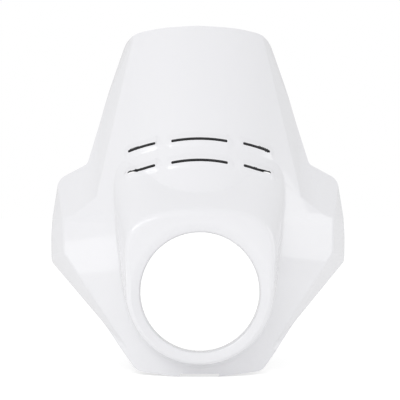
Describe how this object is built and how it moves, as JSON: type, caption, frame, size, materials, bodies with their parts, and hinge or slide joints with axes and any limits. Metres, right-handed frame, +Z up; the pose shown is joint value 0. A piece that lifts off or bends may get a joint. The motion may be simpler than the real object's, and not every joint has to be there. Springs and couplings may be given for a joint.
{
  "type": "motorcycle headlight mask",
  "caption": "Moulded headlight mask with a round lamp opening in a raised nose, a leaning slotted wind deflector and swept side wings.",
  "frame": {"origin": "centre of the lamp opening, half way along the seat of the lamp", "axes": "+X to the viewer's right, +Y to the rear along the lamp axis, +Z up"},
  "size_m": [0.4, 0.1871, 0.4589],
  "materials": {
    "painted_shell": "gloss white paint over black plastic"
  },
  "bodies": {
    "root": {"mask_shell": "painted_shell"}
  },
  "joints": []
}
